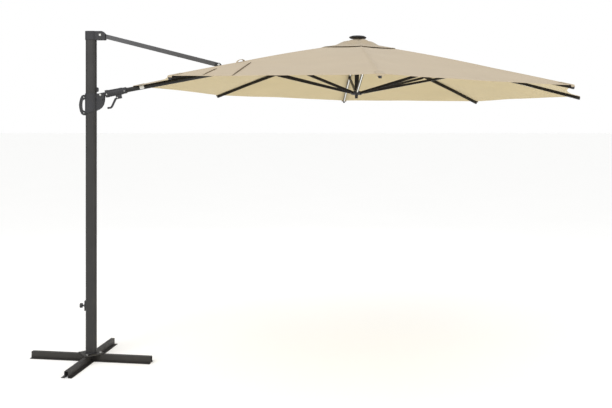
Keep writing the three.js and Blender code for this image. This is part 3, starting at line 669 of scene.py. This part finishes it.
def panel(kind, surface, number, row_count, column_count, columns=SEAM, marks=(), hole=None):
    """The cloth on one rib, between the middles of two gores. Returns the piece, its area and flat size."""
    steps = [1.0 - (1.0 - step / row_count) ** ROW_CROWDING for step in range(row_count + 1)]
    hem_share = 1 - HEM / (surface.reach - surface.start)
    steps = sorted(set(round(step, 6) for step in steps if step < hem_share - 0.004))
    steps += [hem_share - 0.002, hem_share, 1.0]
    for mark in marks:
        steps = [step for step in steps if abs(step - mark) > ROW_GAP] + [mark]
    steps.sort()

    def chord_at(radius, column):
        half = radius * math.sin(GORE)
        if column < len(columns):
            return min(columns[column], half * WIDEST_SEAM)
        first = min(columns[-1], half * WIDEST_SEAM)
        return first + (half - first) * (column - len(columns) + 1) / column_count

    last = len(columns) + column_count - 1
    rows, slant = [], 0.0
    previous = surface.start
    for step in steps:
        nominal = surface.start + (surface.reach - surface.start) * step
        slant += math.hypot(nominal - previous, surface.height(nominal) - surface.height(previous))
        previous = nominal
        row = []
        for signed in range(-last, last + 1):
            column = abs(signed)
            share = chord_at(nominal, column) / (2 * nominal * math.sin(GORE))
            radius = surface.start + (surface.hem_radius(share) - surface.start) * step
            chord = math.copysign(chord_at(radius, column), signed)
            extra = SEAM_LIFT if column < FELLED and kind == "canopy_panel" else 0.0
            if step > hem_share - 0.001:
                extra += HEM_LIFT
            hem = (1 - step) * (surface.reach - surface.start)
            row.append((surface.point(number, radius, chord, 0), extra, (chord, slant, hem)))
        rows.append(row)

    name = f"{kind}_{number}"
    # The panels' undersides take the cloth with the painted glow.
    # The vent panels' upper side takes the darker cloth with its painted shade.
    cloths = [CLOTH if kind == "canopy_panel" else VENT_CLOTH_PAINTED_SHADE, CLOTH_UNDER_PAINTED_GLOW]

    def build(label, keep_face=None):
        piece, faces = cloth_mesh(label, rows, rib_body(number), cloths, CLOTH_THICK, keep_face)
        return piece, flat_area(piece, faces)

    flat = (2 * surface.reach * math.sin(GORE), slant)
    if not hole:
        return (*build(name), flat)

    # The cloth on either side of the opening is a piece of its own.
    low, high, end, half_width = hole
    limit = columns.index(half_width)

    def within(i, finish):
        return steps[i] >= low - 1e-6 and steps[i + 1] <= finish + 1e-6

    def beside(i, column):
        return within(i, end) and column > limit

    main = build(name, lambda i, j: not within(i, high) and not beside(i, abs(j + 0.5 - last)))
    for label, sign in (("left", 1), ("right", -1)):
        piece, area = build(f"opening_side_{label}", lambda i, j: beside(i, (j + 0.5 - last) * sign))
        fold_away(piece)
    return (*main, flat)


def patch(name, number, radii, chords, lift, thick, bound, turn_down=()):
    """Trim on a canopy panel: a grid over polygon radii and chord distances, thicker by bound at its border.
    turn_down lists further rows as (outwards, down) from the last one."""
    rows = []
    angle = math.pi - (number - 1) * 2 * GORE
    outwards = Vector((math.cos(angle), math.sin(angle), 0))
    for i, radius in enumerate(radii):
        row = []
        for j, chord in enumerate(chords):
            raised = bound if i in (0, len(radii) - 1) or j in (0, len(chords) - 1) else 0.0
            flat = Vector((chord, radius, 1.0))
            row.append((CANOPY.point(number, radius, chord, lift), raised, flat))
        rows.append(row)
    edge = list(rows[-1])
    for out, down in turn_down:
        step = outwards * out - Vector((0, 0, down))
        rows.append([(point + step, raised, flat + Vector((0, down, 0))) for point, raised, flat in edge])
    piece, _ = cloth_mesh(name, rows, rib_body(number), [TRIM], thick)
    fold_away(piece)
    return piece


def spread(low, high, count):
    """Evenly spaced values from low to high, both included."""
    return [low + (high - low) * step / count for step in range(count + 1)]


# Opening over the pivot bracket in the first panel.
LUG_PLACE = CROWN.inverted() @ pivot("boom_fold")
HOLE_INNER = -LUG_PLACE.x - 0.048
HOLE_OUTER = -LUG_PLACE.x + 0.054
HOLE_HALF = 0.0476
SIDE_OUTER = HOLE_OUTER + 0.098  # cloth beside the opening out to here is a piece of its own


def canopy_step(radius):
    return (radius - CANOPY_START) / (CANOPY_REACH - CANOPY_START)


panels, vents, trims = {}, {}, {number: [] for number in ARMS}
for number in ARMS:
    if number == 1:
        marks = (canopy_step(HOLE_INNER), canopy_step(HOLE_OUTER), canopy_step(SIDE_OUTER))
        panels[number] = panel("canopy_panel", CANOPY, number, *OPENING_GRID, SEAM + (0.020, HOLE_HALF), marks,
                               (*marks, HOLE_HALF))
    else:
        panels[number] = panel("canopy_panel", CANOPY, number, *CANOPY_GRID)
    vents[number] = panel("vent_panel", VENT, number, *VENT_GRID)

# Tip pockets: a folded strap over the end of every rib.
POCKET_START, POCKET_END = 1.672, 1.7515
POCKET_HALF = 0.026
POCKET_TURN = ((0.0022, 0.0012), (0.0042, 0.0038), (0.0052, 0.0075), (0.0056, 0.0125))
for number in ARMS:
    strip = patch(f"tip_pocket_{number}", number, spread(POCKET_START, POCKET_END, 8),
                  spread(-POCKET_HALF, POCKET_HALF, 8), CLOTH_THICK + SEAM_LIFT + 0.0003, POCKET_THICK,
                  0.0004, turn_down=POCKET_TURN)
    trims[number].append(strip)

# Bound edges of the opening.
BAND = 0.020
EDGE_LIFT = CLOTH_THICK + TRACE
across, beyond = spread(-HOLE_HALF - BAND, HOLE_HALF + BAND, 14), spread(HOLE_INNER, HOLE_OUTER, 8)
opening = (
    ("opening_band_outer", spread(HOLE_OUTER, HOLE_OUTER + BAND, 3), across, 0.0),
    ("opening_band_inner", spread(HOLE_INNER - BAND, HOLE_INNER, 3), across, 0.0),
    ("opening_band_left", beyond, spread(HOLE_HALF, HOLE_HALF + BAND, 3), HOLE_HALF),
    ("opening_band_right", beyond, spread(-HOLE_HALF - BAND, -HOLE_HALF, 3), -HOLE_HALF),
)
for name, radii, chords, aside in opening:
    lift = EDGE_LIFT + SEAM_LIFT + TRACE
    trims[1].append(patch(name, 1, radii, chords, lift, TRIM_THICK, 0.0006))

# Access patch beside the eighth rib: a sewn cover whose two side edges are bound in a darker tape.
PATCH_ARM = 8
PATCH_INNER = ((1.198, 0.0865), (1.690, 0.385))  # its side edges, from and to (radius, chord)
PATCH_OUTER = ((1.4805, 0.0865), (1.705, 0.197))
PATCH_LIFT = CLOTH_THICK + 0.0018
TAPE_RISE = 0.0045
TAPE_STEPS = 24
ACROSS_STRIP = (-1, -0.5, 0, 0.5, 1)


def patch_edge(name, start, end, width):
    """Narrow tape on the patch between two (radius, chord) points."""
    rows = []
    for t in spread(0, 1, TAPE_STEPS):
        radius = start[0] + (end[0] - start[0]) * t
        chord = start[1] + (end[1] - start[1]) * t
        row = []
        for offset in ACROSS_STRIP:
            bulge = TAPE_RISE * (1 - offset * offset) * min(1.0, 6 * t, 6 * (1 - t))
            point = CANOPY.point(PATCH_ARM, radius + offset * width / 2, chord, PATCH_LIFT)
            row.append((point, bulge, (offset * width, t, 1.0)))
        rows.append(row)
    piece, _ = cloth_mesh(name, rows, rib_body(PATCH_ARM), [BINDING], CLOTH_THICK)
    fold_away(piece)
    return piece


def patch_cover():
    """The cloth of the patch, spread between its two side edges."""
    rows = []
    for share in spread(0, 1, 20):
        row = []
        for t in spread(0, 1, 16):
            ends = []
            for inner, outer in zip(PATCH_INNER, PATCH_OUTER):
                ends.append([inner[axis] + (outer[axis] - inner[axis]) * t for axis in (0, 1)])
            radius, chord = [ends[0][axis] + (ends[1][axis] - ends[0][axis]) * share for axis in (0, 1)]
            point = CANOPY.point(PATCH_ARM, radius, chord, CLOTH_THICK + 0.0004)
            row.append((point, 0.0, (chord, radius, 1.0)))
        rows.append(row)
    piece, _ = cloth_mesh(f"access_patch_{PATCH_ARM}", rows, rib_body(PATCH_ARM), [CLOTH], CLOTH_THICK)
    fold_away(piece)
    return piece


STRAP_START = 1.160
STRAP_LENGTH = 0.062
STRAP_HEIGHT = 0.015
STRAP_HALF = 0.010


def strap_loop():
    """Standing loop of webbing on the rib beside the patch."""
    rows = []
    for t in spread(0, 1, TAPE_STEPS):
        radius = STRAP_START + STRAP_LENGTH * t
        lift = CLOTH_THICK + SEAM_LIFT + 0.0004 + STRAP_HEIGHT * math.sin(math.pi * t) ** 0.6
        row = []
        for offset in ACROSS_STRIP:
            chord = offset * STRAP_HALF
            row.append((CANOPY.point(PATCH_ARM, radius, chord, lift), 0.0, (chord, radius, 1.0)))
        rows.append(row)
    piece, _ = cloth_mesh(f"strap_loop_{PATCH_ARM}", rows, rib_body(PATCH_ARM), [TRIM], TRIM_THICK)
    fold_away(piece)
    return piece


trims[PATCH_ARM].append(patch_cover())
trims[PATCH_ARM].append(patch_edge("patch_tape_inner", *PATCH_INNER, 0.010))
trims[PATCH_ARM].append(patch_edge("patch_tape_outer", *PATCH_OUTER, 0.009))
trims[PATCH_ARM].append(strap_loop())

for number, (piece, area, flat) in panels.items():
    fold_away(piece)
for number, (piece, area, flat) in vents.items():
    fold_away(piece)

# ---- Collar: a gathered sleeve of cloth under the solar cap, flared over the vent ----
COLLAR = ((0.0315, 0.0700), (0.0325, 0.0685), (0.0340, 0.0668), (0.0362, 0.0648), (0.0392, 0.0628),
          (0.0430, 0.0606), (0.0480, 0.0578), (0.0560, 0.0530), (0.0680, 0.0462), (0.0820, 0.0398))
COLLAR_SIDES = 96
COLLAR_PLEATS = 24


def make_collar():
    """Two shells of the gathered sleeve, joined along both edges."""
    vertices, flats = [], []
    for thick in (0.0, CLOTH_THICK):
        slant = 0.0
        for index, (radius, z) in enumerate(COLLAR):
            if index:
                slant += math.dist(COLLAR[index - 1], COLLAR[index])
            depth = 0.0013 * math.exp(-((index - 3.5) / 2.6) ** 2) + 0.0004
            for side in range(COLLAR_SIDES):
                angle = 2 * math.pi * side / COLLAR_SIDES
                wave = depth * math.cos(COLLAR_PLEATS * angle)
                size = radius + wave - thick * (0.8 if index < 6 else 0.2)
                rise = -thick * (0.3 if index < 6 else 0.95)
                vertices.append((size * math.cos(angle), size * math.sin(angle), z + rise))
                flats.append((angle * radius, slant, 1.0))
    count = len(COLLAR) * COLLAR_SIDES
    faces = []
    for index in range(len(COLLAR) - 1):
        for side in range(COLLAR_SIDES):
            after = (side + 1) % COLLAR_SIDES
            a, b = index * COLLAR_SIDES + side, index * COLLAR_SIDES + after
            c, d = b + COLLAR_SIDES, a + COLLAR_SIDES
            faces.append((a, d, c, b))
            faces.append((count + a, count + b, count + c, count + d))
    last = (len(COLLAR) - 1) * COLLAR_SIDES
    for side in range(COLLAR_SIDES):
        after = (side + 1) % COLLAR_SIDES
        faces.append((side, after, count + after, count + side))
        faces.append((last + after, last + side, count + last + side, count + last + after))
    piece = make("vent_collar", vertices, faces, TRIM, "crown", "canopy_beige", CROWN)
    store_flats(piece.data, flats)
    return piece


collar = make_collar()
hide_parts("canopy_fabric")
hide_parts("vent_cap")

# ---- Rib trim: end caps, light strips, rivets ----
TIP_TURN = Matrix.Rotation(math.atan(SLOPE + 2 * BOW * SPAN), 4, "Y")
CAP_LOW, CAP_HIGH = (-0.004, -0.0092, -0.0122), (0.009, 0.0092, 0.0080)
for number in ARMS[1:]:
    tip = arm_frame(number) @ Matrix.Translation((RIB_REACH, 0, rib_height(RIB_REACH))) @ TIP_TURN
    block(f"rib_cap_{number}", CAP_LOW, CAP_HIGH, BLACK, rib_body(number), "black_plastic", tip, 0.002, 0.86)

LED_RUNS = ((0.30, LUG.x - 0.045), (LUG.x + 0.035, 1.700))  # on a rib, inside and outside its lug
LED_STEPS = 12
LED_SECTION = ((-0.0052, 0.0022), (-0.0052, 0.0), (-0.003, -0.0012),
               (0.003, -0.0012), (0.0052, 0.0), (0.0052, 0.0022))
LED_SEAT = 0.0016 - RIB_HEIGHT / 2
LINK_END = 0.045  # bare length at each end of a stretcher


def light_strip(name, number, start, end):
    """Diffuser that sits in the mouth of a rib channel."""
    vertices, faces, corners = [], [], len(LED_SECTION)
    for radius in spread(start, end, LED_STEPS):
        for y, z in LED_SECTION:
            vertices.append((radius, y, rib_height(radius) + LED_SEAT + z))
    for step in range(LED_STEPS):
        for corner in range(corners):
            a, b = step * corners + corner, step * corners + (corner + 1) % corners
            faces.append((a, b, b + corners, a + corners))
    faces.append(tuple(reversed(range(corners))))
    faces.append(tuple(LED_STEPS * corners + corner for corner in range(corners)))
    return make(name, vertices, faces, LIGHT, rib_body(number), "nylon", arm_frame(number), sharp=30)


def link_strip(name, number):
    """Diffuser that sits in the mouth of a stretcher channel."""
    runner_pin = arm_frame(number) @ Vector((RING, 0, 2 * LUG.z))
    rib_pin = pivot(f"stretcher_{number}_fold")
    place = axes(runner_pin, rib_pin - runner_pin, arm_frame(number).col[1].xyz)
    length = (rib_pin - runner_pin).length
    block(name, (LINK_END, -0.0036, -0.0092), (length - LINK_END, 0.0036, -0.0064), LIGHT,
          f"stretcher_{number}", "nylon", place, 0.0008)


LIT_ARMS = (3, 5, 7)
for number in ARMS[1:]:
    if number in LIT_ARMS:
        for part_name, (start, end) in zip(("inner", "outer"), LED_RUNS):
            light_strip(f"light_strip_{number}_{part_name}", number, start, end)
        link_strip(f"light_strip_{number}_link", number)
    across = arm_frame(number).col[1].xyz
    for side in (-1, 1):
        place = facing(pivot(f"stretcher_{number}_fold") + across * side * 0.0080, across * side)
        button_head(f"link_rivet_{number}_{'front' if side > 0 else 'back'}", place, 0.0050, 0.0020,
                    f"stretcher_{number}", BLACK, "black_plastic")
for side in (-1, 1):
    place = facing(pivot("stretcher_1_fold") + Vector((0, side * 0.0250, 0)), (0, side, 0))
    button_head(f"fork_rivet_{'back' if side > 0 else 'front'}", place, 0.0055, 0.0025, "stretcher_1")

# ---- Solar cap ----
CAP_STEM = ((0.0, 0.0125), (0.012, 0.0125), (0.012, 0.066), (0.030, 0.0685), (0.052, 0.0715),
            (0.0635, 0.0755), (0.0672, 0.0790), (0.0684, 0.0822), (0.0672, 0.0848), (0.0640, 0.0865),
            (0.0618, 0.0868), (0.0608, 0.0856), (0.0, 0.0850))
CAP_DOME = ((0.0, 0.0858), (0.0600, 0.0860), (0.0598, 0.0888), (0.0570, 0.0914), (0.0500, 0.0942),
            (0.0380, 0.0968), (0.0200, 0.0988), (0.0, 0.0995))
CAP_SIDES = 64
stem = make("solar_housing", *lathe(CAP_STEM, CAP_SIDES), BLACK, "crown", "solar_black", CROWN, sharp=38)
make("solar_dome", *lathe(CAP_DOME, CAP_SIDES), SOLAR, "crown", "solar_black", CROWN, sharp=38)
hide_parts("solar_cap")

# ---- Bolts and screws ----
for label, node_name, centre, radius, body in (
    ("head", "head_pin", pivot("canopy_fold"), 0.0088, "mast"),
    ("strut", "strut_pin", pivot("boom_fold"), 0.0088, NODES["strut_pin"]["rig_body"]),
    ("slider", "slider_pin", pivot("slider_fold"), 0.0078, NODES["slider_pin"]["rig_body"]),
):
    low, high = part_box(node_name)
    for side, reach in ((-1, low.y), (1, high.y)):
        place = facing(Vector((centre.x, reach, centre.z)), (0, side, 0))
        button_head(f"{label}_bolt_{'back' if side > 0 else 'front'}", place, radius, 0.0028, body)

handle_low, handle_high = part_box("slider_handle")
HANDLE_ARM = 0.0200  # from an end of the handle to its screw
HANDLE_OUT = 0.054  # from the mast's axis to the screw
BUMPER = ((0, 0), (0.0062, 0), (0.0062, 0.0016), (0.0050, 0.0032), (0.0026, 0.0039), (0, 0.0040))
for side, sign in (("front", -1), ("back", 1)):
    face_y = handle_low.y if sign < 0 else handle_high.y
    for label, z in (("upper", handle_high.z - HANDLE_ARM), ("lower", handle_low.z + HANDLE_ARM)):
        place = facing(Vector((MAST.translation.x - HANDLE_OUT, face_y, z)), (0, sign, 0))
        cross_head(f"handle_screw_{label}_{side}", place, 0.0048, 0.0022, "slider")
    place = facing(MAST @ Vector((0.0385, sign * 0.0262, 2.046)), (0.72, sign * 0.70, 0))
    cross_head(f"sleeve_screw_{side}", place, 0.0052, 0.0022, "slider", BLACK, "black_plastic")
    place = facing(MAST @ Vector((0.0965, sign * 0.0170, 2.043)), (0, sign, 0))
    make(f"bumper_{side}", *lathe(BUMPER, HEAD_SIDES), RUBBER, "slider", "black_plastic", place, sharp=50)
    place = facing(BOOM @ Vector((0.0505, sign * 0.0210, -0.005)), (0, sign, 0))
    cross_head(f"knuckle_screw_{side}", place, 0.0055, 0.0024, "boom_root")
    outwards = BOOM.to_3x3() @ Vector((0, sign * 0.97, -0.24))
    place = facing(BOOM @ Vector((0.190, sign * 0.0242, -0.0058)), outwards)
    cross_head(f"collar_screw_{side}", place, 0.0045, 0.0024, "boom_root")


# ---- Raised rings round the tilt barrel ----
RING_OUTLINE = ((0.0272, -0.0035), (0.0282, -0.0028), (0.0285, 0.0), (0.0282, 0.0028), (0.0272, 0.0035),
                (0.0272, -0.0035))
for index, x in enumerate((0.078, 0.158), 1):
    place = BOOM @ Matrix.Translation((x, 0, 0)) @ Matrix.Rotation(math.pi / 2, 4, "Y")
    shape = lathe(RING_OUTLINE, 48)
    make(f"barrel_ring_{index}", *shape, BLACK, "boom_root", "black_plastic", place, sharp=60)


# ---- Blank label on the boom ----
LABEL_START, LABEL_LENGTH = 0.313, 0.034
LABEL_FROM, LABEL_TURN = -52, 100  # degrees round the boom
LABEL_RADII = (0.0184, 0.0181)  # its outside and its underside


def boom_label():
    """A film bent round the front of the boom."""
    vertices, faces, loops = [], [], []
    columns, rows = 12, 4
    for radius in LABEL_RADII:
        for i in range(rows + 1):
            for j in range(columns + 1):
                angle = math.radians(LABEL_FROM + LABEL_TURN * j / columns)
                x = LABEL_START + LABEL_LENGTH * i / rows
                vertices.append((x, -radius * math.cos(angle), radius * math.sin(angle)))
    total = (rows + 1) * (columns + 1)
    for i in range(rows):
        for j in range(columns):
            a = i * (columns + 1) + j
            loop = (a, a + 1, a + columns + 2, a + columns + 1)
            loops.append(loop)
            faces += [loop, tuple(total + corner for corner in reversed(loop))]
    for start, end in open_edges(loops):
        faces.append((end, start, total + start, total + end))
    return make("boom_label", vertices, faces, LABEL, "boom", "nylon", BOOM, sharp=40)


boom_label()


# ---- Floor, light and camera ----
def studio():
    scene = bpy.context.scene
    mesh = bpy.data.meshes.new("floor")
    size, depth = 400, -0.0005
    corners = [(-size, -size, depth), (size, -size, depth), (size, size, depth), (-size, size, depth)]
    mesh.from_pydata(corners, [], [(0, 1, 2, 3)])
    f = Finish("floor_paint", specular_ior_level=0.1, emission_color=(1, 1, 1, 1), emission_strength=0.1)
    pale = linear(250, 250, 249)
    tint = f.mix(f.remap(f.noise(0.6, 2), 0.3, 0.7, 0, 1), scaled(pale, 0.985), pale)
    mesh.materials.append(f.finish(tint, f.remap(f.noise(2, 2), 0.3, 0.7, 0.85, 0.95)))
    floor = bpy.data.objects.new("floor", mesh)
    scene.collection.objects.link(floor)

    world = bpy.data.worlds.new("studio")
    world.use_nodes = True
    tree = world.node_tree
    back = tree.nodes["Background"]

    def add(kind, **settings):
        node = tree.nodes.new(kind)
        for key, value in settings.items():
            setattr(node, key, value)
        return node

    # The room is white to the eye, and lights the parasol mostly from the front and above.
    side = add("ShaderNodeSeparateXYZ")
    tree.links.new(add("ShaderNodeTexCoord").outputs["Generated"], side.inputs[0])
    shares = []
    for axis, limits in ((1, (-1.0, 0.1, 0.85, 0.0)), (2, (0.0, 1.0, 0.0, 0.55))):
        share = add("ShaderNodeMapRange", interpolation_type="SMOOTHSTEP")
        for index, value in enumerate(limits, 1):
            share.inputs[index].default_value = value
        tree.links.new(side.outputs[axis], share.inputs[0])
        shares.append(share.outputs[0])
    total = add("ShaderNodeMath", operation="ADD")
    tree.links.new(shares[0], total.inputs[0])
    tree.links.new(shares[1], total.inputs[1])
    base = add("ShaderNodeMath", operation="ADD")
    base.inputs[1].default_value = 0.34
    tree.links.new(total.outputs[0], base.inputs[0])
    path = add("ShaderNodeLightPath")
    seen = add("ShaderNodeMix", data_type="FLOAT")
    seen.inputs[3].default_value = 1.0
    tree.links.new(path.outputs["Is Camera Ray"], seen.inputs[0])
    tree.links.new(base.outputs[0], seen.inputs[2])
    tree.links.new(seen.outputs[0], back.inputs[1])
    back.inputs[0].default_value = (1, 1, 1, 1)
    scene.world = world
    scene.view_settings.view_transform = "Standard"

    lights = (
        ("key", (-4.5, -5.5, 5.5), (0.0, 0.0, 1.6), 3.5, 150),
        ("fill", (5.5, -4.5, 3.5), (0.3, 0.0, 1.8), 4.0, 70),
        ("under", (0.6, -2.2, 0.15), (0.4, 0.3, 2.3), 3.2, 16),
        ("back", (0.0, 5.5, 4.5), (0.0, 0.0, 1.8), 4.0, 55),
    )
    for name, place, target, size, power in lights:
        data = bpy.data.lights.new(name, "AREA")
        data.shape, data.size, data.energy = "DISK", size, power
        lamp = bpy.data.objects.new(name, data)
        lamp.matrix_world = facing(place, Vector(place) - Vector(target))
        lamp.visible_camera = False
        scene.collection.objects.link(lamp)


CAMERA_ASIDE = 1.669  # from the mast towards the boom
CAMERA_DISTANCE = 5.604
CAMERA_HEIGHT = 1.8043


def photo_camera():
    """Level camera in front of the parasol, as high as a standing photographer's eye. Its frame is shifted
    down, so that the horizon stands above the middle of the picture."""
    data = bpy.data.cameras.new("camera")
    data.sensor_width = 36
    data.lens = 41.99294
    data.shift_x = 0.0034314
    data.shift_y = -0.1209967
    camera = bpy.data.objects.new("camera", data)
    camera.location = (MAST.translation.x + CAMERA_ASIDE, -CAMERA_DISTANCE, CAMERA_HEIGHT)
    camera.rotation_euler = (math.pi / 2, 0, 0)
    bpy.context.scene.collection.objects.link(camera)
    bpy.context.scene.camera = camera


studio()
photo_camera()
